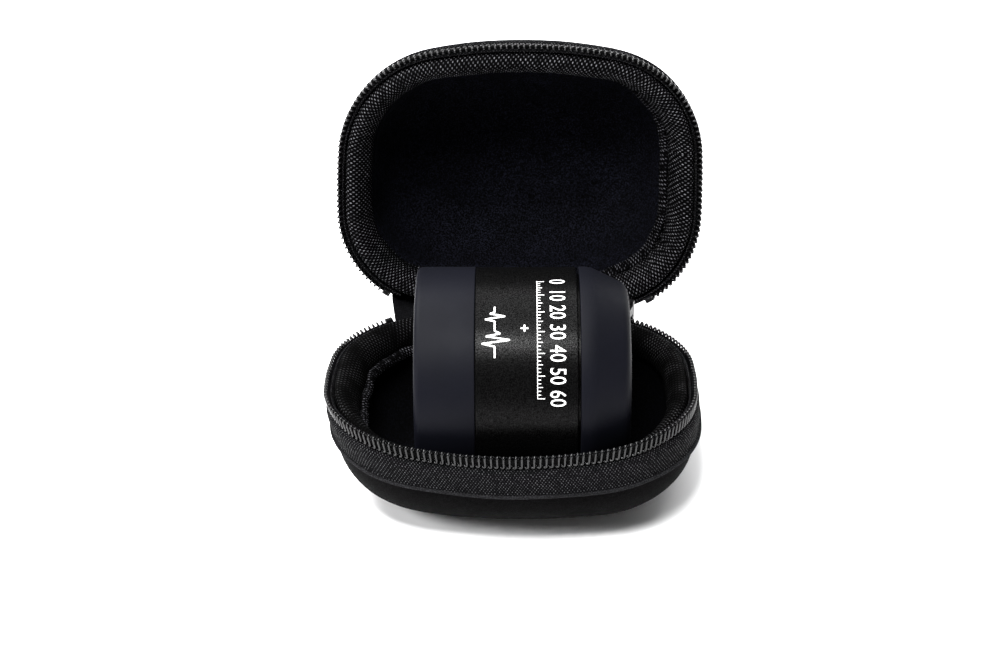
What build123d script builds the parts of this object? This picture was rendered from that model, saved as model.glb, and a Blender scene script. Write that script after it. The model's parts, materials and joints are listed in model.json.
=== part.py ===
"""A pocket timegrapher lying in its open zip case.

The instrument is a short aluminium drum with a soft rubber boot on its foot and a tapered rubber
ring round its sensing end. It stands on its foot in use, and lies on its side in the case. The
case is a moulded foam clamshell: two fabric-covered bowls, a fabric hinge and a coil zip.

Millimetres, +Z up. The origin is the centre of the case's flat underside, +X runs along the case's
length and +Y points from its front to its hinge.
"""
import math
import os

from build123d import *

# ---- the rim of the case, seen from above ----
RIM_HALF_LENGTH = 36.2
RIM_HALF_DEPTH = 28.5
CORNER_RADIUS = 21.85
CORNER_X = 14.2
CORNER_Y = 5.4

# ---- heights of the case ----
DEVICE_RADIUS = 21.0
SHELL_FLOOR = 1.4
LINING_THICKNESS = 0.4
REST_GAP = 0.2
AXIS_ABOVE_RIM = 1.25
AXIS_Z = SHELL_FLOOR + LINING_THICKNESS + REST_GAP + DEVICE_RADIUS
RIM_Z = AXIS_Z - AXIS_ABOVE_RIM
LID_DEPTH = 24.4
CLOSED_GAP = 0.3

# ---- section of the rim: offsets from the rim line, outwards positive ----
BAND_OUTER = 0.8
BAND_TOP = -3.6
BAND_BOTTOM = -8.2
STRIP_OUTER = 0.5
STRIP_TOP = -2.6
COIL_INNER = -1.2
COIL_HEIGHT = 2.6
TAPE_LEG_INNER = -1.6
TAPE_LEG_TOP = -0.8
TAPE_WEB = 0.4
BINDING_OUTER = -2.4
BINDING_INNER = -5.0
BINDING_TOP = -0.2
BINDING_SKIN = 0.5
BINDING_DEPTH = 6.0
SHOULDER = -4.05
TONGUE_TOP = -0.8
SHELL_INNER = -4.5
FIT_GAP = 0.05

# ---- bowls: elliptical walls down to a flat bottom ----
BOWL_OUTER_INSET = 22.0
BOWL_OUTER_FLAT = 17.0
BOWL_INNER_INSET = 15.0
BOWL_INNER_FLAT = 12.0
BOWL_STEPS = 8

# ---- hinge and zip ends along the back ----
HINGE_Y = 28.0
LID_OPEN_DEG = 101.0
COIL_LEFT_X = -23.8
COIL_RIGHT_X = 17.8
LID_COIL_RIGHT_X = 28.0
STOP_LENGTH = 1.6
TAPE_LEFT_X = COIL_LEFT_X + STOP_LENGTH
TAPE_RIGHT_X = COIL_RIGHT_X - STOP_LENGTH
LID_LEG_RIGHT_X = LID_COIL_RIGHT_X - STOP_LENGTH
STRIP_GAP = 0.2

# ---- zip slider, parked on the back right corner ----
SLIDER_ANGLE_DEG = 70.5
SLIDER_LENGTH = 7.0
SLIDER_PLATE_INNER = 0.25
SLIDER_PLATE_OUTER = 1.15
SLIDER_BOTTOM = -3.3
SLIDER_TOP = 2.9
SLIDER_FLANGE = 0.4
SLIDER_INNER_PLATE = (-2.15, -1.75)
LUG_CENTRE = 2.15
LUG_RADIUS = 1.0
PIN_RADIUS = 0.45
PIN_CLEARANCE = 0.06
TAB_LENGTH = 17.0
TAB_WIDTH = 5.0
TAB_THICKNESS = 1.2

# ---- instrument: distances along its axis from the foot face ----
DEVICE_LENGTH = 41.2
DEVICE_YAW_DEG = 1.5
DEVICE_FOOT_X = -18.2
BARREL_START = 11.5
BARREL_END = 31.0
RING_START = 31.5
TAPER_START = 33.6
RING_RIM_RADIUS = 17.3
PRINT_ELEVATION_DEG = 50.0
BARREL_RADIUS = 20.9
BARREL_BORE = 17.6
SPIGOT_RADIUS = 19.3
SPIGOT_LENGTH = 3.0
BOOT_BORE = 18.0
BOOT_FLOOR = 1.8
BASE_PLATE_RADIUS = 17.5
BASE_PLATE_THICKNESS = 1.5
SCREW_CIRCLE = 14.5
CARRIER_RADIUS = 16.5
CARRIER_TOP = DEVICE_LENGTH - 1.65
CARRIER_BOTTOM = CARRIER_TOP - 4.2
WELL_FLOOR = CARRIER_TOP - 2.0
CHASSIS_TOP = BARREL_END + SPIGOT_LENGTH
CHASSIS_RADIUS = 17.4
CHASSIS_BORE = 15.7
FOAM_SHELF_TOP = 23.95
SENSOR_RADIUS = 11.0
SENSOR_THICKNESS = 1.9
SENSOR_FACE = DEVICE_LENGTH - 0.35
STEM_RADIUS = 1.5
STEM_CLEARANCE = 0.08
STEM_BOTTOM = 32.7
SENSOR_TRAVEL = 0.8
BRASS_THICKNESS = 0.3
CERAMIC_THICKNESS = 0.25
PIEZO_BOTTOM = STEM_BOTTOM - BRASS_THICKNESS - CERAMIC_THICKNESS

# ---- socket, button and light on the back of the instrument ----
BACK_Y = BARREL_RADIUS
SOCKET_Z = 17.0
BUTTON_Z = 24.5
LIGHT_Z = 28.2
LIGHT_RADIUS = 0.6
BUTTON_RADIUS = 2.2
BUTTON_CLEARANCE = 0.08
BUTTON_TRAVEL = 0.4
BUTTON_STEM_END = BARREL_BORE - 1.8
SOCKET_BOARD_Y = 13.1


# ------------------------------------------------------------------ case outline

def side_arc_radius(half_size, centre_along, centre_across, corner):
    """Radius of the flat arc that passes the half size and runs tangent into the corner arc."""
    reach = centre_along - half_size
    return (corner ** 2 - reach ** 2 - centre_across ** 2) / (2 * (reach + corner))


END_RADIUS = side_arc_radius(RIM_HALF_LENGTH, CORNER_X, CORNER_Y, CORNER_RADIUS)
FRONT_RADIUS = side_arc_radius(RIM_HALF_DEPTH, CORNER_Y, CORNER_X, CORNER_RADIUS)
END_ANGLE = math.atan2(CORNER_Y, CORNER_X - RIM_HALF_LENGTH + END_RADIUS)
FRONT_ANGLE = math.atan2(CORNER_X, CORNER_Y - RIM_HALF_DEPTH + FRONT_RADIUS)


def corner_point(offset, angle):
    """Point on the back right corner arc of the offset outline, at an angle from +X."""
    radius = CORNER_RADIUS + offset
    return CORNER_X + radius * math.cos(angle), CORNER_Y + radius * math.sin(angle)


def outline(offset, z=0.0):
    """Face inside the rim line moved outwards by offset: eight tangent arcs."""
    corner_mid = (END_ANGLE + math.pi / 2 - FRONT_ANGLE) / 2
    end_x, end_y = corner_point(offset, END_ANGLE)
    mid_x, mid_y = corner_point(offset, corner_mid)
    side_x, side_y = corner_point(offset, math.pi / 2 - FRONT_ANGLE)
    half_x, half_y = RIM_HALF_LENGTH + offset, RIM_HALF_DEPTH + offset
    stops = [
        ((end_x, -end_y), (half_x, 0), (end_x, end_y)),
        ((end_x, end_y), (mid_x, mid_y), (side_x, side_y)),
        ((side_x, side_y), (0, half_y), (-side_x, side_y)),
        ((-side_x, side_y), (-mid_x, mid_y), (-end_x, end_y)),
        ((-end_x, end_y), (-half_x, 0), (-end_x, -end_y)),
        ((-end_x, -end_y), (-mid_x, -mid_y), (-side_x, -side_y)),
        ((-side_x, -side_y), (0, -half_y), (side_x, -side_y)),
        ((side_x, -side_y), (mid_x, -mid_y), (end_x, -end_y)),
    ]
    arcs = [ThreePointArc(*[(x, y, z) for x, y in points]) for points in stops]
    return Face(Wire(arcs))


def disc(offset, low, high):
    """Solid of the offset outline between two heights."""
    return extrude(outline(offset, low), amount=high - low, dir=(0, 0, 1))


def ring(outer, inner, low, high):
    """Upright wall that follows the rim line."""
    return disc(outer, low, high) - disc(inner, low - 1, high + 1)


def bowl(offset, inset, flat, top, bottom):
    """Bowl from the offset outline at height top, in along an ellipse to a flat at bottom."""
    last = math.acos(1 - flat / inset)
    drop = (top - bottom) / math.sin(last)
    sections = []
    for step in range(BOWL_STEPS + 1):
        angle = last * step / BOWL_STEPS
        sections.append(outline(offset - inset * (1 - math.cos(angle)), top - drop * math.sin(angle)))
    return loft(sections, ruled=True)


# ------------------------------------------------------------------ one half of the case
# Each half is built as the base: its rim at height depth, its flat at 0.

def half_shell(depth):
    """Foam bowl with a tongue round its edge for the binding."""
    band_bottom = depth + BAND_BOTTOM
    shoulder = depth + SHOULDER
    body = disc(-FIT_GAP, band_bottom, shoulder)
    body += bowl(-FIT_GAP, BOWL_OUTER_INSET, BOWL_OUTER_FLAT, band_bottom, 0)
    body += disc(BINDING_OUTER - BINDING_SKIN, shoulder, depth + TONGUE_TOP)
    body -= disc(SHELL_INNER, band_bottom, depth + 1)
    body -= bowl(SHELL_INNER, BOWL_INNER_INSET, BOWL_INNER_FLAT, band_bottom, SHELL_FLOOR)
    return body


def half_lining(depth):
    """Knitted lining over the inside of the bowl, up to the binding."""
    band_bottom = depth + BAND_BOTTOM
    top = depth - BINDING_DEPTH - FIT_GAP
    outer = disc(SHELL_INNER, band_bottom, top)
    outer += bowl(SHELL_INNER, BOWL_INNER_INSET, BOWL_INNER_FLAT, band_bottom, SHELL_FLOOR)
    inside = SHELL_INNER - LINING_THICKNESS
    floor = SHELL_FLOOR + LINING_THICKNESS
    outer -= disc(inside, band_bottom, top + 1)
    outer -= bowl(inside, BOWL_INNER_INSET, BOWL_INNER_FLAT, band_bottom, floor)
    return outer


def half_binding(depth):
    """Woven strip folded over the shell's tongue."""
    top = depth + BINDING_TOP
    roll = ring(BINDING_OUTER, BINDING_INNER, depth + SHOULDER, top)
    roll += ring(SHELL_INNER, BINDING_INNER, depth - BINDING_DEPTH, depth + SHOULDER)
    tongue = ring(BINDING_OUTER - BINDING_SKIN, SHELL_INNER, depth + SHOULDER, depth + TONGUE_TOP)
    return roll - tongue


def back_window(left, right, depth):
    """Block that covers the back of the rim between two places along X."""
    height = 4 * depth
    return Pos((left + right) / 2, 2 * RIM_HALF_DEPTH, 0) * Box(right - left, 4 * CORNER_RADIUS, height)


def half_tape(depth, leg_right):
    """Zip tape: a band round the outside that steps in behind the coil."""
    band = ring(BAND_OUTER, 0, depth + BAND_BOTTOM, depth + BAND_TOP)
    web = ring(BAND_OUTER, TAPE_LEG_INNER, depth + BAND_TOP - TAPE_WEB, depth + BAND_TOP)
    leg = ring(COIL_INNER, TAPE_LEG_INNER, depth + BAND_TOP, depth + TAPE_LEG_TOP)
    leg -= back_window(TAPE_LEFT_X, leg_right, depth)
    return band + web - back_window(TAPE_LEFT_X, TAPE_RIGHT_X, depth) + leg


def half_coil(depth, right):
    """Zip coil, as the solid band that its turns fill."""
    return ring(0, COIL_INNER, depth - COIL_HEIGHT, depth) - back_window(COIL_LEFT_X, right, depth)


def half_strip(depth):
    """One half of the fabric hinge, on the outside of the back wall."""
    strip = ring(STRIP_OUTER, 0, depth + BAND_BOTTOM, depth + STRIP_TOP)
    return strip & back_window(TAPE_LEFT_X + STRIP_GAP, TAPE_RIGHT_X - STRIP_GAP, depth)


def half_stops(depth, right):
    """Metal stops clamped on the tape at both ends of the coil."""
    clips = ring(0, COIL_INNER, depth - COIL_HEIGHT, depth)
    left_stop = clips & back_window(COIL_LEFT_X, COIL_LEFT_X + STOP_LENGTH, depth)
    right_stop = clips & back_window(right - STOP_LENGTH, right, depth)
    return Compound(left_stop.solids() + right_stop.solids())


def lid_place(shape):
    """Turn a half over, set it on the base's rim and open it about the hinge."""
    closed = Pos(0, 0, RIM_Z + CLOSED_GAP + LID_DEPTH) * mirror(shape, Plane.XY)
    hinge = Axis((0, HINGE_Y, RIM_Z + CLOSED_GAP / 2), (-1, 0, 0))
    return closed.rotate(hinge, LID_OPEN_DEG)


# ------------------------------------------------------------------ zip slider

def slider_place(shape):
    """From the slider's own frame (X along the zip, Y outwards) to the back right corner."""
    angle = math.radians(SLIDER_ANGLE_DEG)
    x, y = corner_point(0, angle)
    return Pos(x, y, RIM_Z) * Rot(0, 0, SLIDER_ANGLE_DEG - 90) * shape


def block(x_range, y_range, z_range):
    """Box between three pairs of coordinates."""
    sizes = [high - low for low, high in (x_range, y_range, z_range)]
    centre = [(low + high) / 2 for low, high in (x_range, y_range, z_range)]
    return Pos(*centre) * Box(*sizes)


def bent_block(x_range, y_range, z_range):
    """Box bent to the corner arc, in the slider's own frame."""
    low_y, high_y = y_range
    height = z_range[1] - z_range[0]
    centre = Pos(0, -CORNER_RADIUS, (z_range[0] + z_range[1]) / 2)
    arc = Cylinder(CORNER_RADIUS + high_y, height) - Cylinder(CORNER_RADIUS + low_y, height + 1)
    return (centre * arc) & block(x_range, (low_y - 2, high_y + 1), z_range)


def slider_body():
    """Outer plate, lower flange, half inner plate and the post between the coils."""
    half = SLIDER_LENGTH / 2
    whole = (-half, half)
    nose = (half - 1.6, half)
    body = bent_block(whole, (SLIDER_PLATE_INNER, SLIDER_PLATE_OUTER), (SLIDER_BOTTOM, SLIDER_TOP))
    body += bent_block(whole, (-1.0, SLIDER_PLATE_OUTER), (SLIDER_BOTTOM, SLIDER_BOTTOM + SLIDER_FLANGE))
    body += bent_block(nose, (SLIDER_INNER_PLATE[0], SLIDER_PLATE_INNER + 0.2), (0.1, 2.0))
    body += bent_block(whole, SLIDER_INNER_PLATE, (-2.6, 0.12))
    lug = Pos(0, LUG_CENTRE, 0) * Rot(0, 90, 0) * Cylinder(LUG_RADIUS, 2.0)
    lug += block((-1.0, 1.0), (SLIDER_PLATE_OUTER - 0.2, LUG_CENTRE), (-LUG_RADIUS, LUG_RADIUS))
    hole = Pos(0, LUG_CENTRE, 0) * Rot(0, 90, 0) * Cylinder(PIN_RADIUS + PIN_CLEARANCE, 4.0)
    return body + lug - hole


def pull_tab():
    """Flat tab that hangs from a pin through the slider's lug."""
    half = TAB_WIDTH / 2
    arm = 1.0
    plate = block((-half, half), (LUG_CENTRE - TAB_THICKNESS / 2, LUG_CENTRE + TAB_THICKNESS / 2),
                  (-TAB_LENGTH, -2.0))
    plate = fillet(plate.edges().filter_by(Axis.Y), 1.0)
    for side in (-1, 1):
        inner, outer = side * (half - arm), side * half
        plate += block((min(inner, outer), max(inner, outer)),
                       (LUG_CENTRE - TAB_THICKNESS / 2, LUG_CENTRE + TAB_THICKNESS / 2), (-3.2, 0.6))
    plate += Pos(0, LUG_CENTRE, 0) * Rot(0, 90, 0) * Cylinder(PIN_RADIUS, TAB_WIDTH)
    slot = block((-1.2, 1.2), (LUG_CENTRE - 2, LUG_CENTRE + 2), (-TAB_LENGTH + 2.5, -TAB_LENGTH + 5))
    return plate - slot


# ------------------------------------------------------------------ instrument
# Built standing on its foot: +Z along its axis, -Y towards the printed side.

def device_place(shape):
    """Lay the standing instrument in the case, printed side to the front."""
    laid = Rot(0, 0, DEVICE_YAW_DEG) * Rot(-PRINT_ELEVATION_DEG, 0, 0) * Rot(0, 90, 0)
    middle = Pos(0, 0, -DEVICE_LENGTH / 2)
    centre = Pos(DEVICE_FOOT_X + DEVICE_LENGTH / 2, 0, AXIS_Z)
    return centre * laid * middle * shape


def turned(points):
    """Solid of revolution from points (radius, height)."""
    profile = Face(Wire(Polyline(*[(r, 0, z) for r, z in points], close=True)))
    return revolve(profile, Axis.Z)


def tube(outer, inner, low, high):
    """Plain tube on the axis."""
    return turned([(inner, low), (outer, low), (outer, high), (inner, high)])


def puck(radius, low, high):
    """Plain disc on the axis."""
    return turned([(0, low), (radius, low), (radius, high), (0, high)])


def around(radius, count, shape, start=0.0):
    """Copies of a shape on a circle about the axis."""
    step = 360 / count
    return [Rot(0, 0, start + step * i) * Pos(radius, 0, 0) * shape for i in range(count)]


def slot_block(length, height, outer, inner):
    """Rounded slot shape at the socket, between two distances from the axis."""
    plane = Plane((0, outer, SOCKET_Z), x_dir=(1, 0, 0), z_dir=(0, -1, 0))
    return extrude(plane * SlotOverall(length, height), outer - inner)


def radial_rod(radius, low, high, z):
    """Cylinder along +Y between two distances from the axis."""
    return Pos(0, (low + high) / 2, z) * Rot(90, 0, 0) * Cylinder(radius, high - low)


def foot_boot():
    """Soft cup that the instrument stands on."""
    top = BARREL_START
    spigot = top - SPIGOT_LENGTH
    cup = turned([(0, 0), (DEVICE_RADIUS, 0), (DEVICE_RADIUS, top), (SPIGOT_RADIUS, top),
                  (SPIGOT_RADIUS, spigot), (BOOT_BORE, spigot), (BOOT_BORE, BOOT_FLOOR), (0, BOOT_FLOOR)])
    edge = cup.edges().filter_by(GeomType.CIRCLE).group_by(Axis.Z)[0]
    return fillet(edge, 1.2)


def barrel():
    """Anodised sleeve with a spigot at each end and cut-outs for socket, button and light."""
    low, high = BARREL_START, BARREL_END
    sleeve = turned([(BARREL_BORE, low - SPIGOT_LENGTH), (SPIGOT_RADIUS, low - SPIGOT_LENGTH),
                     (SPIGOT_RADIUS, low), (BARREL_RADIUS, low), (BARREL_RADIUS, high),
                     (SPIGOT_RADIUS, high), (SPIGOT_RADIUS, high + SPIGOT_LENGTH),
                     (BARREL_BORE, high + SPIGOT_LENGTH)])
    circles = sleeve.edges().filter_by(GeomType.CIRCLE)
    sleeve = chamfer(circles.filter_by(lambda edge: abs(edge.radius - BARREL_RADIUS) < 0.01), 0.2)
    sleeve -= slot_block(9.0, 3.3, BACK_Y + 1, BACK_Y - 7)
    sleeve -= radial_rod(BUTTON_RADIUS + BUTTON_CLEARANCE, BARREL_BORE - 2, BACK_Y + 1, BUTTON_Z)
    return sleeve - radial_rod(LIGHT_RADIUS, BARREL_BORE - 2, BACK_Y + 1, LIGHT_Z)


def power_button():
    """Button cap with a flange behind the sleeve and a short stem."""
    flange_out = BARREL_BORE - 0.4
    cap = radial_rod(BUTTON_RADIUS, flange_out, BACK_Y - 0.3, BUTTON_Z)
    flange = radial_rod(BUTTON_RADIUS + 0.6, flange_out - 0.6, flange_out, BUTTON_Z)
    stem = radial_rod(0.8, BUTTON_STEM_END, flange_out, BUTTON_Z)
    return cap + flange + stem


def button_switch():
    """Click switch behind the button, on the upright board."""
    dome_top = BUTTON_STEM_END - BUTTON_TRAVEL - 0.1
    body = block((-2.3, 2.3), (SOCKET_BOARD_Y, dome_top - 0.4), (BUTTON_Z - 2.3, BUTTON_Z + 2.3))
    return body + radial_rod(1.2, dome_top - 0.5, dome_top, BUTTON_Z)


def status_light():
    """Clear light pipe set in the sleeve."""
    return radial_rod(LIGHT_RADIUS, BARREL_BORE - 1.0, BARREL_RADIUS - 0.05, LIGHT_Z)


def charging_socket():
    """Metal shell of the socket with its contact tongue."""
    mouth = BACK_Y - 0.6
    shell = slot_block(8.9, 3.2, mouth, SOCKET_BOARD_Y)
    shell -= slot_block(8.3, 2.6, mouth + 1, SOCKET_BOARD_Y + 0.7)
    tongue = block((-3.3, 3.3), (SOCKET_BOARD_Y + 0.5, mouth - 0.8), (SOCKET_Z - 0.35, SOCKET_Z + 0.35))
    return shell + tongue


def head_ring():
    """Soft ring that tapers to the sensing end, with a lip over the sensor's edge."""
    top = DEVICE_LENGTH
    inner_end = BARREL_END + SPIGOT_LENGTH + FIT_GAP
    lip_radius = RING_RIM_RADIUS - 4.0
    ring_body = turned([(SPIGOT_RADIUS, RING_START), (DEVICE_RADIUS, RING_START),
                        (DEVICE_RADIUS, TAPER_START), (RING_RIM_RADIUS, top), (lip_radius, top),
                        (lip_radius, CARRIER_TOP + FIT_GAP), (CARRIER_RADIUS + 0.1, CARRIER_TOP + FIT_GAP),
                        (CARRIER_RADIUS + 0.1, inner_end), (SPIGOT_RADIUS, inner_end)])
    circles = ring_body.edges().filter_by(GeomType.CIRCLE)
    rim_edges = circles.group_by(Axis.Z)[-1]
    return fillet(rim_edges, 0.7)


def sensor_carrier():
    """Disc that closes the head, with a well for the sensing plate and a bore for its stem."""
    well = SENSOR_RADIUS + 0.15
    bore = STEM_RADIUS + STEM_CLEARANCE
    return turned([(bore, CARRIER_BOTTOM), (CARRIER_RADIUS, CARRIER_BOTTOM), (CARRIER_RADIUS, CARRIER_TOP),
                   (well, CARRIER_TOP), (well, WELL_FLOOR), (bore, WELL_FLOOR)])


def sensor_plate():
    """Polished plate that the watch rests on, with its stem."""
    face = SENSOR_FACE
    return turned([(0, STEM_BOTTOM), (STEM_RADIUS, STEM_BOTTOM), (STEM_RADIUS, face - SENSOR_THICKNESS),
                   (SENSOR_RADIUS, face - SENSOR_THICKNESS), (SENSOR_RADIUS, face - 0.3),
                   (SENSOR_RADIUS - 0.3, face), (0, face)])


def sensor_spring():
    """Coil spring in the well, round the stem."""
    wire_radius = 0.15
    room = SENSOR_FACE - SENSOR_THICKNESS - WELL_FLOOR
    height = room - 2 * wire_radius - 0.1
    path = Helix(pitch=height / 2, height=height, radius=2.4)
    wire = Plane(origin=path @ 0, z_dir=path % 0) * Circle(wire_radius)
    return Pos(0, 0, WELL_FLOOR + wire_radius + 0.05) * sweep(wire, path=path)


def sensor_clip():
    """Retaining ring on the stem, under the carrier."""
    return tube(2.8, STEM_RADIUS, CARRIER_BOTTOM - 0.5, CARRIER_BOTTOM - 0.05)


def piezo_disc():
    """Contact microphone on the stem's end: brass disc with its ceramic disc."""
    brass = puck(10.0, STEM_BOTTOM - BRASS_THICKNESS, STEM_BOTTOM)
    ceramic = puck(7.0, PIEZO_BOTTOM, PIEZO_BOTTOM + CERAMIC_THICKNESS)
    return Compound([brass, ceramic])


def base_screws():
    """Three countersunk screws that hold the base plate to the chassis."""
    head = turned([(0, BOOT_FLOOR + 0.1), (1.9, BOOT_FLOOR + 0.1), (0.95, BOOT_FLOOR + 1.1),
                   (0.95, 8.0), (0, 8.0)])
    drive = Pos(0, 0, BOOT_FLOOR + 0.1) * extrude(RegularPolygon(0.7, 6), 0.6)
    return Compound(around(SCREW_CIRCLE, 3, head - drive, 30))


def base_plate():
    """Aluminium plate inside the foot boot."""
    low = BOOT_FLOOR + 0.05
    plate = puck(BASE_PLATE_RADIUS, low, low + BASE_PLATE_THICKNESS)
    clear = turned([(0, low - 1), (2.0, low - 1), (2.0, low + 0.1), (1.05, low + 1.15),
                    (1.05, low + 3), (0, low + 3)])
    for hole in around(SCREW_CIRCLE, 3, clear, 30):
        plate -= hole
    return plate


def chassis():
    """Moulded frame that carries the battery and boards, with three screw posts."""
    low = BOOT_FLOOR + 0.1 + BASE_PLATE_THICKNESS
    wall = tube(CHASSIS_RADIUS, CHASSIS_BORE, low, CHASSIS_TOP)
    wall += tube(CHASSIS_BORE + 0.1, 13.2, 11.0, 12.2)
    wall += tube(CHASSIS_BORE + 0.1, 15.0, FOAM_SHELF_TOP - 2.2, FOAM_SHELF_TOP - 1.15)
    post = puck(2.6, low, 11.0)
    for one in around(SCREW_CIRCLE, 3, post, 30):
        wall += one
    bore = puck(0.95, low - 1, 8.0)
    for one in around(SCREW_CIRCLE, 3, bore, 30):
        wall -= one
    wall = wall & puck(CHASSIS_RADIUS, low - 1, CHASSIS_TOP + 1)
    window = block((-6.5, 6.5), (8, 25), (13.5, 30.5))
    return wall - window


def battery():
    """Flat round cell in the foot, with its wrapped rim."""
    cell = puck(10.8, 4.2, 10.6)
    return fillet(cell.edges().filter_by(GeomType.CIRCLE), 0.5)


def circuit_board():
    """Main board on the chassis shelf, cut away for the screw posts."""
    board = puck(14.8, 12.3, 13.3)
    return board - block((-6.6, 6.6), (8.5, 20), (12, 14))


def board_parts():
    """Chips and the radio module on the board."""
    chip = block((-3.5, 3.5), (-10.5, -3.5), (13.3, 14.3))
    radio = block((-11.0, -5.0), (-1.5, 6.5), (13.3, 15.3))
    store = block((5.0, 9.5), (-2.0, 2.5), (13.3, 14.1))
    crystal = block((5.5, 8.7), (-7.5, -6.0), (13.3, 14.0))
    return Compound([chip, radio, store, crystal])


def socket_board():
    """Upright board behind the socket, button and light."""
    return block((-6.2, 6.2), (SOCKET_BOARD_Y - 1.0, SOCKET_BOARD_Y), (13.5, 30.2))


def head_gasket():
    """Sealing ring between the chassis and the carrier."""
    section = (CARRIER_BOTTOM - CHASSIS_TOP) / 2
    return Pos(0, 0, CHASSIS_TOP + section) * Torus(CHASSIS_BORE + 0.2, section)


def foam_shelf():
    """Disc on the chassis's upper ledge, cut away for the upright board."""
    shelf = puck(CHASSIS_BORE - 0.1, FOAM_SHELF_TOP - 1.1, FOAM_SHELF_TOP)
    return shelf - block((-6.6, 6.6), (SOCKET_BOARD_Y - 1.4, 20), (FOAM_SHELF_TOP - 3, FOAM_SHELF_TOP + 1))


def damping_foam():
    """Foam pad that stops the piezo disc at the end of the plate's travel."""
    return puck(9.0, FOAM_SHELF_TOP + 0.05, PIEZO_BOTTOM - SENSOR_TRAVEL - 0.05)


# ------------------------------------------------------------------ build

def case_nodes():
    """Both halves of the case with the zip and hinge."""
    nodes = {
        "base_shell": half_shell(RIM_Z),
        "base_lining": half_lining(RIM_Z),
        "base_binding": half_binding(RIM_Z),
        "base_zip_tape": half_tape(RIM_Z, TAPE_RIGHT_X),
        "base_zip_coil": half_coil(RIM_Z, COIL_RIGHT_X),
        "base_zip_stops": half_stops(RIM_Z, COIL_RIGHT_X),
        "hinge_strip_lower": half_strip(RIM_Z),
    }
    lid = {
        "lid_shell": half_shell(LID_DEPTH),
        "lid_lining": half_lining(LID_DEPTH),
        "lid_binding": half_binding(LID_DEPTH),
        "lid_zip_tape": half_tape(LID_DEPTH, LID_LEG_RIGHT_X),
        "lid_zip_coil": half_coil(LID_DEPTH, LID_COIL_RIGHT_X),
        "lid_zip_stops": half_stops(LID_DEPTH, LID_COIL_RIGHT_X),
        "hinge_strip_upper": half_strip(LID_DEPTH),
    }
    for name, shape in lid.items():
        nodes[name] = lid_place(shape)
    nodes["zip_slider"] = slider_place(slider_body())
    nodes["zip_pull_tab"] = slider_place(pull_tab())
    return nodes


def device_nodes():
    """Every piece of the instrument, laid in the case."""
    pieces = {
        "foot_boot": foot_boot(),
        "barrel": barrel(),
        "head_ring": head_ring(),
        "base_plate": base_plate(),
        "base_screws": base_screws(),
        "chassis": chassis(),
        "battery": battery(),
        "circuit_board": circuit_board(),
        "board_components": board_parts(),
        "socket_board": socket_board(),
        "charging_socket": charging_socket(),
        "power_button": power_button(),
        "button_switch": button_switch(),
        "status_light": status_light(),
        "sensor_carrier": sensor_carrier(),
        "sensor_plate": sensor_plate(),
        "sensor_spring": sensor_spring(),
        "sensor_clip": sensor_clip(),
        "piezo_disc": piezo_disc(),
        "head_gasket": head_gasket(),
        "foam_shelf": foam_shelf(),
        "damping_foam": damping_foam(),
    }
    return {name: device_place(shape) for name, shape in pieces.items()}


def main():
    os.makedirs("parts", exist_ok=True)
    for name, shape in {**case_nodes(), **device_nodes()}.items():
        export_step(shape, f"parts/{name}.step")


main()
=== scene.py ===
import json
import math

import bmesh
import bpy
import numpy as np
from mathutils import Matrix, Vector


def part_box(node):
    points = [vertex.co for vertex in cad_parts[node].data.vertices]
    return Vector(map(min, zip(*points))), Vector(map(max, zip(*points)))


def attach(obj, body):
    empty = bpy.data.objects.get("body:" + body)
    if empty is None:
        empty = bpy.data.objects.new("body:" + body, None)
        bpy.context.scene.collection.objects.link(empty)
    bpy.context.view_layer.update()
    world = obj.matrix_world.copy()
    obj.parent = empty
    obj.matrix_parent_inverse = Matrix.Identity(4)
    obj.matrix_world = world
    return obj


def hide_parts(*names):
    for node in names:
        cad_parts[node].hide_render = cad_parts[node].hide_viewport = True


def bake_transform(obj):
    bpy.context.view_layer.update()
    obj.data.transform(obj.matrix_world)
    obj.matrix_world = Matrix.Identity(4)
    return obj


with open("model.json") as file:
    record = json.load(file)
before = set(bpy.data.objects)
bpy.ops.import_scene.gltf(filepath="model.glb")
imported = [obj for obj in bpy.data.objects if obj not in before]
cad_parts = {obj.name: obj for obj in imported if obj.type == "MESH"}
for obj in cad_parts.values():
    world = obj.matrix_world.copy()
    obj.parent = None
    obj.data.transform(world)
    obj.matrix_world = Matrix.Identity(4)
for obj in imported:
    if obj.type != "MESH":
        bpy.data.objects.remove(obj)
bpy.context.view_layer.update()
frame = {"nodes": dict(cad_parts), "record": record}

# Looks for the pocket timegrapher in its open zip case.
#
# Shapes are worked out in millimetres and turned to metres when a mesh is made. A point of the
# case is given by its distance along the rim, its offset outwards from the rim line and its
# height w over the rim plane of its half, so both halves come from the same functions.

MM = 0.001
TAU = 2 * math.pi

# ---- the rim line: eight tangent arcs, as in the CAD ----
COIL_LOW, COIL_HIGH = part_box("base_zip_coil")
HALF_LENGTH = COIL_HIGH.x / MM
HALF_DEPTH = -COIL_LOW.y / MM
RIM_Z = COIL_HIGH.z / MM
CORNER_RADIUS = 21.85
CORNER_X = 14.2
CORNER_Y = 5.4

# ---- the two halves ----
CLOSED_GAP = 0.3
LID_DEPTH = 24.4
DEPTH = {"base": RIM_Z, "lid": LID_DEPTH}
BODY = {"base": "case_base", "lid": "lid"}
SHELL_FLOOR = 1.4
BAND_BOTTOM = -8.2      # lower edge of the zip tape
OUTER_INSET = 22.0      # how far the outer wall curves in on its way to the bottom
OUTER_FLAT = 17.0       # and how much of that is curved
INNER_INSET = 15.0
INNER_FLAT = 12.0
FABRIC_LEFT_X = -25.2
FABRIC_RIGHT_X = 16.6
COIL_RIGHT_X = {"base": 16.6, "lid": 25.4}
TAPE_LEFT_X = -23.6
TAPE_RIGHT_X = 16.2
CLOTH_HALF = 0.16       # half the hinge cloth's thickness

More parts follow.
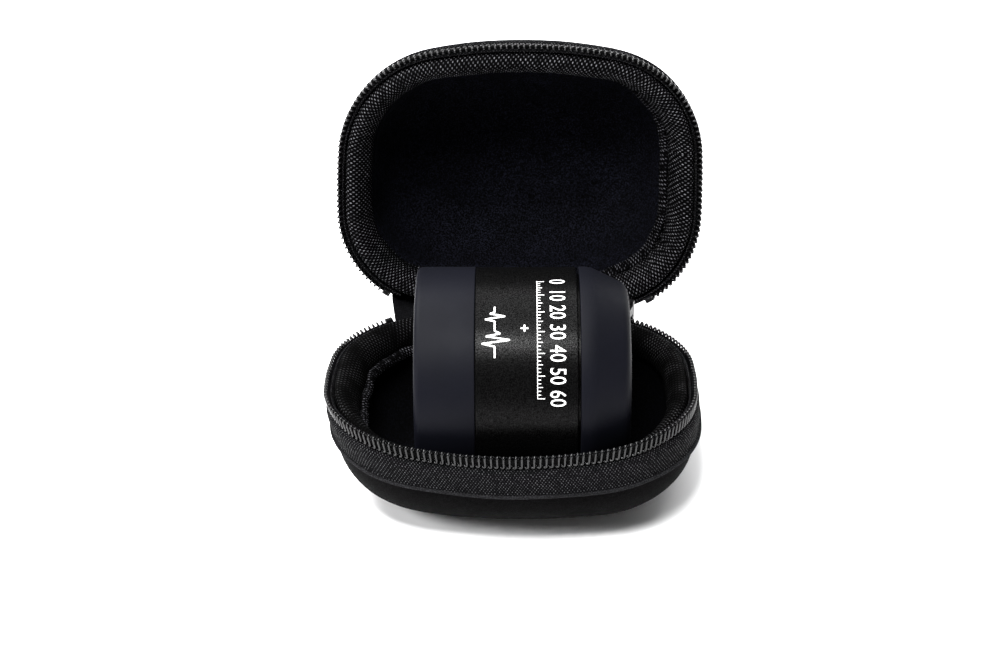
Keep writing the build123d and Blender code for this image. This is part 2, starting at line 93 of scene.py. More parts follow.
# ---- how the soft halves have settled from their moulded shape; shares unless marked mm ----
BASE_WIDER = 1.02
BASE_TAPER = 0.065
BASE_WALL_SHIFT = 1.1   # mm
BASE_BACK_CORNERS = 0.02
BASE_FRONT_CORNERS = 0.01
BASE_FRONT_IN = 0.035
BASE_END_LIFT = 1.1     # mm at mid depth, three times that at the front
BASE_FRONT_LIFT = 0.4   # mm
LID_WIDER = 1.043
LID_WIDER_AT_HINGE = 0.02
LID_LONGER = 1.025
LID_LEAN = 0.07
LID_LEAN_FROM = -1.8    # mm
LID_SHIFT = (0.95, 2.7)     # mm, in x and y
LID_SHEAR = (-0.45, -0.25)  # mm, of x along y and of y along x
LID_SAG = (0.7, 2.0)        # mm, in x and y at the back right corner
LID_CROWN = 0.3             # mm

# ---- zip coil ----
COIL_PITCH = 1.14
STOP_LENGTH = 1.6
WIRE_RADIUS = 0.225
COIL_START_GAP = 0.4    # from the end of the hinge fabric to the first turn


def joint(name):
    """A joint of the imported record."""
    return next(j for j in frame["record"]["behaviour"]["joints"] if j["name"] == name)


def mount(name):
    """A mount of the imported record."""
    return next(m for m in frame["record"]["mounts"] if m["name"] == name)


HINGE_Y = joint("lid_hinge")["pos_m"][1] / MM
HINGE_Z = joint("lid_hinge")["pos_m"][2] / MM
OPEN_ANGLE = math.radians(-joint("lid_hinge")["range_deg"][0])


# ------------------------------------------------------------------ rim line

def side_arc(half_size, along, across):
    """Radius of the flat arc through the half size that runs tangent into the corner arc."""
    reach = along - half_size
    return (CORNER_RADIUS ** 2 - reach ** 2 - across ** 2) / (2 * (reach + CORNER_RADIUS))


def rim_arcs():
    """Rows of centre x and y, radius, start and end angle, anticlockwise from the right end."""
    end_radius = side_arc(HALF_LENGTH, CORNER_X, CORNER_Y)
    front_radius = side_arc(HALF_DEPTH, CORNER_Y, CORNER_X)
    end = math.atan2(CORNER_Y, CORNER_X - HALF_LENGTH + end_radius)
    front = math.atan2(CORNER_X, CORNER_Y - HALF_DEPTH + front_radius)
    quarter = math.pi / 2
    end_x = HALF_LENGTH - end_radius
    front_y = HALF_DEPTH - front_radius
    return np.array([
        (end_x, 0, end_radius, -end, end),
        (CORNER_X, CORNER_Y, CORNER_RADIUS, end, quarter - front),
        (0, front_y, front_radius, quarter - front, quarter + front),
        (-CORNER_X, CORNER_Y, CORNER_RADIUS, quarter + front, 2 * quarter - end),
        (-end_x, 0, end_radius, 2 * quarter - end, 2 * quarter + end),
        (-CORNER_X, -CORNER_Y, CORNER_RADIUS, 2 * quarter + end, 3 * quarter - front),
        (0, -front_y, front_radius, 3 * quarter - front, 3 * quarter + front),
        (CORNER_X, -CORNER_Y, CORNER_RADIUS, 3 * quarter + front, 4 * quarter - end),
    ])


ARCS = rim_arcs()
ARC_LENGTHS = ARCS[:, 2] * (ARCS[:, 4] - ARCS[:, 3])
ARC_ENDS = np.cumsum(ARC_LENGTHS)
PERIMETER = ARC_ENDS[-1]


def rim_at(distance):
    """x, y and the outward angle of points at these distances along the rim line."""
    distance = np.mod(distance, PERIMETER)
    arc = np.searchsorted(ARC_ENDS, distance, side="right").clip(0, len(ARCS) - 1)
    centre_x, centre_y, radius, start = np.moveaxis(ARCS[arc, :4], -1, 0)
    angle = start + (distance - ARC_ENDS[arc] + ARC_LENGTHS[arc]) / radius
    return centre_x + radius * np.cos(angle), centre_y + radius * np.sin(angle), angle


def back_distance(x):
    """Distance along the rim line at which its back side passes x."""
    tries = np.linspace(0, PERIMETER / 2, 4001)
    at_x, at_y, _ = rim_at(tries)
    return float(tries[np.argmin(np.abs(at_x - x) + (at_y < 0) * HALF_LENGTH)])


def slump_base(x, y, w):
    """The soft tray as it stands: front pulled in, ends raised, back corners dipping."""
    rim = np.clip(1 + w / DEPTH["base"], 0, 1)
    wall = np.clip(w / BAND_BOTTOM, 0, 1)
    across, along = x / HALF_LENGTH, y / HALF_DEPTH
    corner = np.where(y > 0, BASE_BACK_CORNERS, BASE_FRONT_CORNERS) * rim * np.abs(across * along)
    end_lift = across ** 2 * BASE_END_LIFT * (1 - 2 * along)
    front_lift = BASE_FRONT_LIFT * np.maximum(-along, 0)
    new_x = x * (1 - corner) * (BASE_WIDER - BASE_TAPER * wall * rim) + BASE_WALL_SHIFT * wall
    new_y = y * (1 - corner) * np.where(y < 0, 1 - BASE_FRONT_IN * rim, 1)
    return new_x, new_y, w + rim * (end_lift + front_lift)


def slump_lid(x, y, w):
    """The soft lid hangs wider and lower than it was moulded, its wall leaning in."""
    wall = np.clip((w - LID_LEAN_FROM) / (BAND_BOTTOM - LID_LEAN_FROM), 0, 1)
    lean = 1 - LID_LEAN * wall
    across, along = x / HALF_LENGTH, y / HALF_DEPTH
    sag = np.clip(across, 0, 1) * np.clip(along, 0, 1)
    wider = LID_WIDER + LID_WIDER_AT_HINGE * along
    new_x = x * wider * lean + LID_SHIFT[0] + LID_SHEAR[0] * along + LID_SAG[0] * sag
    from_hinge = (y * lean - HINGE_Y) * LID_LONGER
    new_y = HINGE_Y + from_hinge + LID_SHIFT[1] + LID_SHEAR[1] * across + LID_SAG[1] * sag
    return new_x, new_y, w + LID_CROWN * (1 - np.abs(across) ** 3)


def place(half, x, y, w):
    """Points of one half in the row frame, in metres."""
    if half == "base":
        x, y, w = slump_base(x, y, w)
        return np.stack([x, y, RIM_Z + w], axis=-1) * MM
    x, y, w = slump_lid(x, y, w)
    y = y - HINGE_Y
    z = RIM_Z + CLOSED_GAP - w - HINGE_Z
    turned_y = y * math.cos(OPEN_ANGLE) + z * math.sin(OPEN_ANGLE)
    turned_z = z * math.cos(OPEN_ANGLE) - y * math.sin(OPEN_ANGLE)
    return np.stack([x, turned_y + HINGE_Y, turned_z + HINGE_Z], axis=-1) * MM


def rim_points(half, distance, offset, w):
    """Points at these distances, offsets and heights, in metres."""
    x, y, angle = rim_at(distance)
    return place(half, x + offset * np.cos(angle), y + offset * np.sin(angle), w)


# ------------------------------------------------------------------ small helpers

def soften(points, rounds=3, closed=True):
    """Cuts the corners of a polyline again and again until it is a smooth curve."""
    points = np.array(points, float)
    for _ in range(rounds):
        after = np.roll(points, -1, axis=0)
        cut = np.stack([0.75 * points + 0.25 * after, 0.25 * points + 0.75 * after], axis=1)
        if closed:
            points = cut.reshape(-1, points.shape[1])
        else:
            points = np.vstack([points[:1], cut[:-1].reshape(-1, points.shape[1]), points[-1:]])
    return points


def waves(distance, lengths, seed):
    """Irregular ripple between about -1 and 1: sines of several lengths with seeded phases."""
    draw = np.random.default_rng(seed)
    total = np.zeros_like(distance, dtype=float)
    for length in lengths:
        phase, slow = draw.uniform(0, TAU, 2)
        swell = 0.6 + 0.4 * np.sin(TAU * distance / (7.3 * length) + slow)
        total += swell * np.sin(TAU * distance / length + phase)
    return total / len(lengths)


def corner_share(angle):
    """1 in the middle of the rim's corners, 0 on its sides."""
    return np.sin(2 * angle) ** 2


def mesh_object(name, points, faces, uv=None):
    """Object from points in metres, faces and, if given, one UV pair for each face corner."""
    mesh = bpy.data.meshes.new(name)
    mesh.from_pydata(points.reshape(-1, 3).tolist(), [], faces)
    if uv is not None:
        mesh.uv_layers.new(name="UVMap").data.foreach_set("uv", np.asarray(uv, np.float32).ravel())
    mesh.update()
    piece = bpy.data.objects.new(name, mesh)
    bpy.context.scene.collection.objects.link(piece)
    tidy = bmesh.new()
    tidy.from_mesh(mesh)
    bmesh.ops.recalc_face_normals(tidy, faces=tidy.faces)
    tidy.to_mesh(mesh)
    tidy.free()
    mesh.shade_smooth()
    return piece


def grid_faces(rows, columns, wrap_rows, wrap_columns):
    """Quads of a grid of points, as corner indices."""
    row = np.arange(rows if wrap_rows else rows - 1)[:, None]
    column = np.arange(columns if wrap_columns else columns - 1)[None, :]
    next_row = (row + 1) % rows
    next_column = (column + 1) % columns
    corners = [row * columns + column, next_row * columns + column,
               next_row * columns + next_column, row * columns + next_column]
    return np.stack(np.broadcast_arrays(*corners), axis=-1).reshape(-1, 4)


def grid_uv(u, v):
    """UV pairs for the corners of grid_faces. u and v hold one more value than a wrapped side."""
    low_u, high_u = u[:-1, None], u[1:, None]
    low_v, high_v = v[None, :-1], v[None, 1:]
    pairs = [(low_u, low_v), (high_u, low_v), (high_u, high_v), (low_u, high_v)]
    shape = (len(u) - 1, len(v) - 1)
    corners = [np.stack([np.broadcast_to(side, shape) for side in pair], -1) for pair in pairs]
    return np.stack(corners, axis=2).reshape(-1, 2)


def profile_lengths(profile, closed):
    """Distance along a profile at each of its points, and at its start again if it is closed."""
    around = np.vstack([profile, profile[:1]]) if closed else profile
    steps = np.linalg.norm(np.diff(around, axis=0), axis=1)
    return np.concatenate([[0], np.cumsum(steps)])


BOWL_STEP = 0.8
FLAT_SHARES = np.array([0.2, 0.4, 0.6, 0.8])    # rings inside a bowl's flat, as shares of its edge


def rim_band(name, half, profile, start=0.0, end=None, step=0.5, bend=None):
    """Closed profile of (offset, w) swept along the rim: all round, or start to end with caps.
    bend(distance, offset, w) may return changed offsets and heights."""
    whole = end is None
    end = start + PERIMETER if whole else end
    count = max(2, round((end - start) / step))
    edges = np.linspace(start, end, count + 1)
    distance = edges[:-1] if whole else edges
    grid_distance, offset = np.meshgrid(distance, profile[:, 0], indexing="ij")
    w = np.broadcast_to(profile[:, 1], offset.shape)
    if bend:
        offset, w = bend(grid_distance, offset, w)
    points = rim_points(half, grid_distance, offset, w)
    rows, columns = offset.shape
    faces = grid_faces(rows, columns, whole, True).tolist()
    uv = grid_uv(edges, profile_lengths(profile, True))
    if not whole:
        last = (rows - 1) * columns
        faces += [list(range(columns)), list(range(last, last + columns))]
        uv = np.vstack([uv, np.zeros((2 * columns, 2))])
    return mesh_object(name, points, faces, uv)


def rim_bowl(name, half, profile, bend):
    """Closed bowl: a profile of (offset, w) from one flat's edge to the other's, flats filled.
    bend(distance, offset, w) returns changed offsets and heights."""
    distance = np.linspace(0, PERIMETER, round(PERIMETER / BOWL_STEP), endpoint=False)
    grid_distance, offset = np.meshgrid(distance, profile[:, 0], indexing="ij")
    offset, w = bend(grid_distance, offset, np.broadcast_to(profile[:, 1], offset.shape))
    x, y, angle = rim_at(grid_distance)
    x, y = x + offset * np.cos(angle), y + offset * np.sin(angle)
    x, y = (np.hstack([v[:, :1] * FLAT_SHARES, v, v[:, -1:] * FLAT_SHARES[::-1]]) for v in (x, y))
    w = np.hstack([w[:, :1].repeat(len(FLAT_SHARES), 1), w, w[:, -1:].repeat(len(FLAT_SHARES), 1)])
    rows, columns = x.shape
    points = place(half, x, y, w).reshape(-1, 3)
    faces = grid_faces(rows, columns, True, False).tolist()
    for column in (0, columns - 1):
        hub = len(points)
        points = np.vstack([points, place(half, np.zeros(1), np.zeros(1), w[:1, column])])
        faces += [[row * columns + column, (row + 1) % rows * columns + column, hub]
                  for row in range(rows)]
    return mesh_object(name, points, faces)


def tube(path, side, radius, corners):
    """Points of a round tube along path; side is a direction the path never follows for long."""
    along = np.gradient(path, axis=0)
    along /= np.linalg.norm(along, axis=1, keepdims=True)
    first = side - (side * along).sum(1, keepdims=True) * along
    first /= np.linalg.norm(first, axis=1, keepdims=True)
    second = np.cross(along, first)
    turn = np.linspace(0, TAU, corners, endpoint=False)
    cosine, sine = np.cos(turn)[None, :, None], np.sin(turn)[None, :, None]
    return path[:, None] + (first[:, None] * cosine + second[:, None] * sine) * radius


# ------------------------------------------------------------------ materials

class Graph:
    """Short way to write a material's nodes."""

    def __init__(self, name):
        self.material = bpy.data.materials.new(name)
        self.material.use_nodes = True
        self.tree = self.material.node_tree
        self.shader = self.tree.nodes["Principled BSDF"]

    def node(self, kind, **settings):
        """New node; settings are its own properties."""
        made = self.tree.nodes.new(kind)
        for key, value in settings.items():
            setattr(made, key, value)
        return made

    def put(self, socket, value):
        """Links an output or sets a constant."""
        if isinstance(value, bpy.types.NodeSocket):
            self.tree.links.new(value, socket)
        else:
            socket.default_value = value

    def set(self, **values):
        """Sets the shader's own sockets; an underscore stands for a space."""
        for key, value in values.items():
            self.put(self.shader.inputs[key.replace("_", " ")], value)

    def math(self, operation, first, second=0.0, third=0.0):
        """Math node on up to three values."""
        made = self.node("ShaderNodeMath", operation=operation)
        for socket, value in zip(made.inputs, (first, second, third)):
            self.put(socket, value)
        return made.outputs[0]

    def place_in(self, kind):
        """Texture coordinate output: Object or UV."""
        return self.node("ShaderNodeTexCoord").outputs[kind]

    def noise(self, size_mm, detail=3.0, stretch=(1, 1, 1)):
        """Noise whose blobs are about size_mm across."""
        mapping = self.node("ShaderNodeMapping")
        mapping.inputs["Scale"].default_value = stretch
        self.put(mapping.inputs["Vector"], self.place_in("Object"))
        made = self.node("ShaderNodeTexNoise")
        made.inputs["Scale"].default_value = 1 / (size_mm * MM)
        made.inputs["Detail"].default_value = detail
        self.put(made.inputs["Vector"], mapping.outputs[0])
        return made.outputs["Fac"]

    def ramp(self, value, low, high, out_low=0.0, out_high=1.0):
        """Smooth step of value from low to high."""
        made = self.node("ShaderNodeMapRange", interpolation_type="SMOOTHSTEP")
        for socket, number in zip(made.inputs, (value, low, high, out_low, out_high)):
            self.put(socket, number)
        return made.outputs[0]

    def mix(self, share, first, second):
        """Colour between two, by a share that varies over the surface."""
        made = self.node("ShaderNodeMix", data_type="RGBA")
        self.put(made.inputs["Factor"], share)
        self.put(made.inputs["A"], (*first, 1) if isinstance(first, tuple) else first)
        self.put(made.inputs["B"], (*second, 1) if isinstance(second, tuple) else second)
        return made.outputs["Result"]

    def bump(self, height, depth_mm, strength):
        """Bump from a height of 0 to 1 that is depth_mm deep."""
        made = self.node("ShaderNodeBump")
        made.inputs["Strength"].default_value = strength
        made.inputs["Distance"].default_value = depth_mm * MM
        self.put(made.inputs["Height"], height)
        self.put(self.shader.inputs["Normal"], made.outputs[0])

    def wave(self, value, length):
        """Cosine of a value in millimetres with that wavelength."""
        return self.math("COSINE", self.math("MULTIPLY", value, TAU / length))

    def uv(self):
        """u along the rim and v across, both in millimetres."""
        split = self.node("ShaderNodeSeparateXYZ")
        self.put(split.inputs[0], self.place_in("UV"))
        return split.outputs[0], split.outputs[1]


def woven(name, u_pitch, v_pitch, dark, light, slant=0.0, narrow=2.2, gleam=0.45,
          patchy=(0.25, 1.0), patch_mm=1.1, shade_across=None):
    """Woven narrow fabric: floats on dark threads, in rows that are set over by half; the floats'
    crests are painted pale, a painted highlight for the sheen on the thread tops.
    slant leans the rows, narrow thins the floats, patchy and patch_mm wear them in places, and
    shade_across is where across the band they are painted dark, a painted shade on its inner side."""
    g = Graph(name)
    u, v = g.uv()
    u = g.math("ADD", u, g.math("MULTIPLY", g.noise(12.0, 1.0), 0.9))
    u = g.math("ADD", u, g.math("MULTIPLY", v, slant))
    v = g.math("ADD", v, g.math("MULTIPLY", g.noise(14.0, 1.0), 0.6))
    along, across = g.wave(u, u_pitch), g.wave(v, v_pitch)
    floats = []
    for sign in (1, -1):
        one = g.math("POWER", g.math("MAXIMUM", g.math("MULTIPLY", along, sign), 0.0), narrow)
        other = g.math("MAXIMUM", g.math("MULTIPLY", across, sign), 0.0)
        floats.append(g.math("MULTIPLY", one, other))
    crossing = g.math("ADD", *floats)
    # Painted highlight: the colour is lightened on the float crests, standing in for the sheen of
    # light on the thread tops.
    crest_highlight = g.ramp(crossing, 0.2, 0.75)
    worn = g.ramp(g.noise(patch_mm, 2.0), 0.38, 0.62, *patchy)
    fibre = g.ramp(g.noise(0.14, 2.0), 0.3, 0.7, 0.5, 1.0)
    share = g.math("MULTIPLY", g.math("MULTIPLY", crest_highlight, worn), fibre)
    # Painted shade: the floats are darkened towards the band's inner edge, where it turns down out
    # of the light.
    if shade_across:
        share = g.math("MULTIPLY", share, g.ramp(g.uv()[1], *shade_across, 1.0, 0.12))
    g.set(Base_Color=g.mix(share, dark, light), Roughness=g.ramp(crest_highlight, 0, 1, 0.9, gleam),
          Specular_IOR_Level=g.ramp(share, 0, 1, 0.02, 0.2))
    g.bump(g.math("ADD", g.math("POWER", crossing, 0.6), g.math("MULTIPLY", fibre, 0.3)), 0.2, 0.9)
    return g.material


def cloth(name, dark, light, grain_mm, depth_mm=0.08):
    """Fine plain cloth or knit, with a speckle of lighter fibres."""
    g = Graph(name)
    grain = g.noise(grain_mm, 2.0)
    cloud = g.ramp(g.noise(9.0, 2.0), 0.3, 0.7, 0.6, 1.0)
    speck = g.math("MULTIPLY", g.ramp(grain, 0.42, 0.68), cloud)
    g.set(Base_Color=g.mix(speck, dark, light), Roughness=g.ramp(grain, 0.3, 0.7, 0.95, 0.8),
          Specular_IOR_Level=0.03)
    g.bump(grain, depth_mm, 0.8)
    return g.material


def rubber(name, dark, light):
    """Soft-touch rubber with a very fine moulded texture and faint smears."""
    g = Graph(name)
    smear = g.noise(14.0, 3.0, (1, 1, 0.5))
    fine = g.noise(0.18, 2.0)
    g.set(Base_Color=g.mix(g.ramp(smear, 0.3, 0.7), dark, light),
          Roughness=g.ramp(smear, 0.3, 0.7, 0.56, 0.46), Specular_IOR_Level=0.05)
    g.bump(fine, 0.02, 0.5)
    return g.material


def blasted(name, dark, light, shine, roughness, grain_mm=0.16):
    """Bead-blasted and anodised metal: a fine sparkling grain under a dark film."""
    g = Graph(name)
    grain = g.noise(grain_mm, 1.0)
    tint = g.noise(11.0, 2.0)
    sparkle = g.ramp(grain, 0.38, 0.66)
    g.set(Base_Color=g.mix(sparkle, dark, light),
          Specular_IOR_Level=g.ramp(sparkle, 0, 1, 0.2 * shine, shine),
          Roughness=g.ramp(tint, 0.3, 0.7, roughness + 0.03, roughness - 0.03))
    g.bump(grain, 0.03, 0.4)
    return g.material


def metal(name, dark, light, roughness, streak=(1, 1, 12)):
    """Machined or drawn metal with fine lines one way and small stains."""
    g = Graph(name)
    lines = g.noise(0.35, 3.0, streak)
    stain = g.noise(5.0, 3.0)
    g.set(Base_Color=g.mix(g.ramp(stain, 0.35, 0.65), dark, light), Metallic=1.0,
          Roughness=g.ramp(lines, 0.3, 0.7, roughness + 0.08, roughness - 0.06))
    g.bump(lines, 0.01, 0.5)
    return g.material


def plastic(name, dark, light, roughness, grain_mm=0.4, depth_mm=0.02, shine=0.3):
    """Moulded plastic with a fine even texture."""
    g = Graph(name)
    grain = g.noise(grain_mm, 2.0)
    cloud = g.noise(6.0, 2.0)
    g.set(Base_Color=g.mix(g.ramp(cloud, 0.35, 0.65), dark, light),
          Roughness=g.ramp(grain, 0.3, 0.7, roughness + 0.08, roughness - 0.05),
          Specular_IOR_Level=shine)
    g.bump(grain, depth_mm, 0.5)
    return g.material


def clear_plastic(name):
    """Frosted light pipe."""
    g = Graph(name)
    haze = g.noise(0.5, 2.0)
    g.set(Base_Color=g.mix(haze, (0.75, 0.82, 0.88), (0.9, 0.94, 0.97)),
          Transmission_Weight=0.6, Roughness=g.ramp(haze, 0.3, 0.7, 0.35, 0.2))
    return g.material


def foam(name):
    """Open-cell foam."""
    g = Graph(name)
    cells = g.node("ShaderNodeTexVoronoi")
    cells.inputs["Scale"].default_value = 1 / (0.7 * MM)
    g.put(cells.inputs["Vector"], g.place_in("Object"))
    depth = cells.outputs["Distance"]
    g.set(Base_Color=g.mix(depth, (0.02, 0.02, 0.022), (0.1, 0.1, 0.11)), Roughness=0.95)
    g.bump(depth, 0.4, 0.8)
    return g.material


SLOT_MATERIALS = {
    "shell_fabric": cloth("shell_cloth", (0.0004, 0.0004, 0.0004), (0.0032, 0.0032, 0.0035), 0.22),
    "lining_knit": cloth("lining_knit", (0.0001, 0.0001, 0.0002), (0.0048, 0.0052, 0.0092),
                         0.3, 0.16),
    # The pale float colour of the binding and the tape is a painted highlight on the thread crests;
    # the binding's last pair of numbers sets where its painted shade darkens the inner edge.
    "binding_weave": woven("binding_weave", 0.95, 1.25, (0.0004, 0.0004, 0.0005),
                           (0.14, 0.14, 0.152), slant=0.16, shade_across=(8.2, 11.2)),
    "zip_tape": woven("tape_weave", 0.62, 0.8, (0.002, 0.002, 0.0023), (0.066, 0.066, 0.07),
                      narrow=1.2, gleam=0.6, patchy=(0.1, 1.0), patch_mm=0.35),
    "hinge_fabric": cloth("hinge_cloth", (0.0004, 0.0004, 0.0005), (0.005, 0.005, 0.006), 0.22),
    "zip_coil": plastic("coil_nylon", (0.002, 0.002, 0.0022), (0.006, 0.006, 0.0065), 0.15,
                        0.3, 0.01),
    "zip_metal": plastic("zip_lacquer", (0.002, 0.002, 0.0022), (0.005, 0.005, 0.0055), 0.32,
                         0.5, shine=0.2),
    "rubber": rubber("soft_rubber", (0.0027, 0.0029, 0.0047), (0.0037, 0.0039, 0.0062)),
    "anodised": blasted("blasted_barrel", (0.0005, 0.0005, 0.0005), (0.0025, 0.0025, 0.0026),
                        0.09, 0.31, 0.17),
    "aluminium": metal("machined_plate", (0.2, 0.2, 0.207), (0.25, 0.25, 0.257), 0.36),
    "screw_steel": metal("screw_steel", (0.15, 0.15, 0.157), (0.2, 0.2, 0.207), 0.34),
    "chassis_plastic": plastic("chassis_plastic", (0.01, 0.01, 0.011), (0.015, 0.015, 0.016), 0.5),
    "carrier_plastic": plastic("carrier_plastic", (0.003, 0.003, 0.0035), (0.006, 0.006, 0.0065),
                               0.5, shine=0.1),
    "battery_wrap": plastic("battery_wrap", (0.02, 0.045, 0.11), (0.026, 0.055, 0.13), 0.3),
    "board_green": plastic("solder_mask", (0.004, 0.03, 0.012), (0.006, 0.042, 0.018), 0.35),
    "chip_black": plastic("chip_black", (0.003, 0.003, 0.003), (0.005, 0.005, 0.005), 0.5,
                          0.2, shine=0.15),
    "socket_steel": metal("socket_steel", (0.16, 0.16, 0.167), (0.22, 0.22, 0.227), 0.28,
                          (12, 1, 1)),
    "button_aluminium": blasted("button_blasted", (0.004, 0.004, 0.0042), (0.01, 0.01, 0.0105),
                                0.2, 0.35),
    "clear_light": clear_plastic("light_pipe"),
    "sensor_steel": metal("sensor_steel", (0.12, 0.12, 0.127), (0.17, 0.17, 0.177), 0.34,
                          (1, 10, 1)),
    "spring_steel": metal("spring_steel", (0.14, 0.14, 0.147), (0.19, 0.19, 0.197), 0.34),
    "brass": metal("brass", (0.22, 0.155, 0.065), (0.28, 0.2, 0.095), 0.34),
    "gasket_rubber": rubber("gasket_rubber", (0.002, 0.002, 0.0023), (0.004, 0.004, 0.0044)),
    "foam": foam("open_foam"),
    "white_print": plastic("white_ink", (0.72, 0.72, 0.71), (0.86, 0.86, 0.85), 0.55, 0.25, 0.01),
}
# Variants of a slot's finish for single pieces.
SELVEDGE = cloth("tape_selvedge", (0.004, 0.004, 0.0043), (0.024, 0.024, 0.026), 0.18)
BINDING_HEM = woven("binding_hem", 0.95, 1.3, (0.0004, 0.0004, 0.0005), (0.12, 0.12, 0.135),
                    slant=0.5, narrow=2.6, gleam=0.5, patchy=(0.0, 1.0), patch_mm=1.3)
# Darker copies of the binding and the lining for the inside of the tray: painted shade, not a
# different cloth.
BINDING_SHADED_IN_TRAY = woven("binding_painted_shade_in_tray", 0.95, 1.25, (0.0003, 0.0003, 0.0003),
                        (0.022, 0.022, 0.024), slant=0.16, gleam=0.5, patchy=(0.1, 1.0),
                        patch_mm=5.0, shade_across=(8.0, 11.0))
LINING_SHADED_IN_TRAY = cloth("lining_painted_shade_in_tray", (0.0001, 0.0001, 0.0001), (0.0014, 0.0015, 0.0026),
                       0.3, 0.16)
SHARP_CAD = math.radians(30)


def finish_piece(piece, body, slot, *nodes, material=None):
    """Rides on a body, if one is given, and hides the CAD nodes that the piece stands for.
    The material is the slot's unless another is given."""
    piece.data.materials.clear()
    piece.data.materials.append(material or SLOT_MATERIALS[slot])
    if body:
        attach(piece, body)
    if nodes:
        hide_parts(*nodes)


def dress_cad_nodes():
    """Gives every CAD node the material of its slot."""
    for part in frame["record"]["subparts"]:
        node = frame["nodes"][part["node"]]
        node.data.materials.clear()
        node.data.materials.append(SLOT_MATERIALS[part["material_slot"]])
        node.data.shade_smooth()
        node.data.set_sharp_from_angle(angle=SHARP_CAD)


# ------------------------------------------------------------------ case: shells and linings

def bowl_curve(offset, inset, flat, top, bottom, steps=18):
    """Elliptic wall from (offset, top) in to a flat at bottom, as (offset, w) points."""
    last = math.acos(1 - flat / inset)
    drop = (top - bottom) / math.sin(last)
    angles = np.linspace(0, last, steps + 1)
    return np.stack([offset - inset * (1 - np.cos(angles)), top - drop * np.sin(angles)], axis=1)


def shell_piece(half):
    """Outer cloth over the moulded foam, from the flat's edge up, over the rim and down inside."""
    bottom = -DEPTH[half]
    outside = bowl_curve(-0.05, OUTER_INSET, OUTER_FLAT, BAND_BOTTOM, bottom)
    inside = bowl_curve(-4.5, INNER_INSET, INNER_FLAT, BAND_BOTTOM, bottom + SHELL_FLOOR)
    top = soften([(-0.05, -7.0), (-0.05, -4.0), (-1.5, -3.9), (-3.0, -3.6), (-4.4, -3.9),
                  (-4.5, -7.0)], 2, closed=False)
    profile = np.vstack([outside[::-1], top, inside])

    def puff(distance, offset, w):
        """The cloth bellies out a little between its glued places."""
        swell = 0.12 * waves(distance, (17.0, 29.0, 41.0), 3)
        share = np.clip((w - bottom) / 4, 0, 1) * np.clip((BAND_BOTTOM - w) / 3, 0, 1)
        return offset + swell * share * (offset > -0.8 * OUTER_INSET), w

    piece = rim_bowl(f"{half}_outer_cloth", half, profile, puff)
    finish_piece(piece, BODY[half], "shell_fabric", f"{half}_shell")


def lining_piece(half):
    """Knitted lining, drawn over the inside of the bowl with a few soft folds in its corners."""
    bottom = -DEPTH[half] + SHELL_FLOOR
    outer = bowl_curve(-4.55, INNER_INSET, INNER_FLAT, BAND_BOTTOM, bottom + 0.05)
    inner = bowl_curve(-4.9, INNER_INSET, INNER_FLAT, BAND_BOTTOM, bottom + 0.4)
    profile = np.vstack([inner[::-1], [(-4.9, -5.6), (-4.7, -5.4), (-4.55, -5.6)], outer])

    def folds(distance, offset, w):
        """Soft pleats where the cloth is gathered into the corners, only on the visible side."""
        _, _, angle = rim_at(distance)
        side = np.zeros(offset.shape)
        side[:, :len(inner)] = 1
        height = np.clip((w - bottom) / 9, 0, 1)
        height = height * np.clip((BAND_BOTTOM + 3.5 - w) / 2.5, 0.3, 1)
        pleat = waves(distance, (3.1, 4.7, 7.9), 11 if half == "lid" else 12)
        return offset + side * height * corner_share(angle) * 0.3 * (pleat - 1), w

    piece = rim_bowl(f"{half}_knit_lining", half, profile, folds)
    # In the tray the lining takes its darker copy, painted shade for the tray's inside.
    finish_piece(piece, BODY[half], "lining_knit", f"{half}_lining",
                 material=LINING_SHADED_IN_TRAY if half == "base" else None)


# ------------------------------------------------------------------ case: rim

BINDING_PROFILE = [(-2.0, -4.2), (-1.85, -2.6), (-1.95, -1.2), (-2.5, -0.1), (-3.6, 0.15),
                   (-4.7, -0.5), (-5.6, -1.8), (-5.9, -3.6), (-5.75, -5.3), (-5.0, -6.2),
                   (-4.3, -6.0), (-3.4, -4.8)]
HEM_PROFILE = [(-4.8, -5.0), (-5.6, -4.3), (-6.4, -4.6), (-6.7, -5.6), (-6.3, -6.7), (-5.4, -7.0),
               (-4.8, -6.4)]
TAPE_PROFILE = [(0.05, -8.2), (0.5, -8.35), (1.0, -8.2), (1.05, -7.7), (0.8, -7.3), (0.75, -6.8),
                (0.85, -6.0), (0.86, -5.0), (0.78, -4.0), (0.5, -3.3), (0.0, -2.9), (-0.7, -2.75),
                (-1.2, -2.75), (-1.22, -2.0), (-1.22, -0.9), (-1.42, -0.7), (-1.62, -0.9),
                (-1.62, -3.3), (-1.3, -3.6), (0.0, -3.7), (0.0, -6.0)]


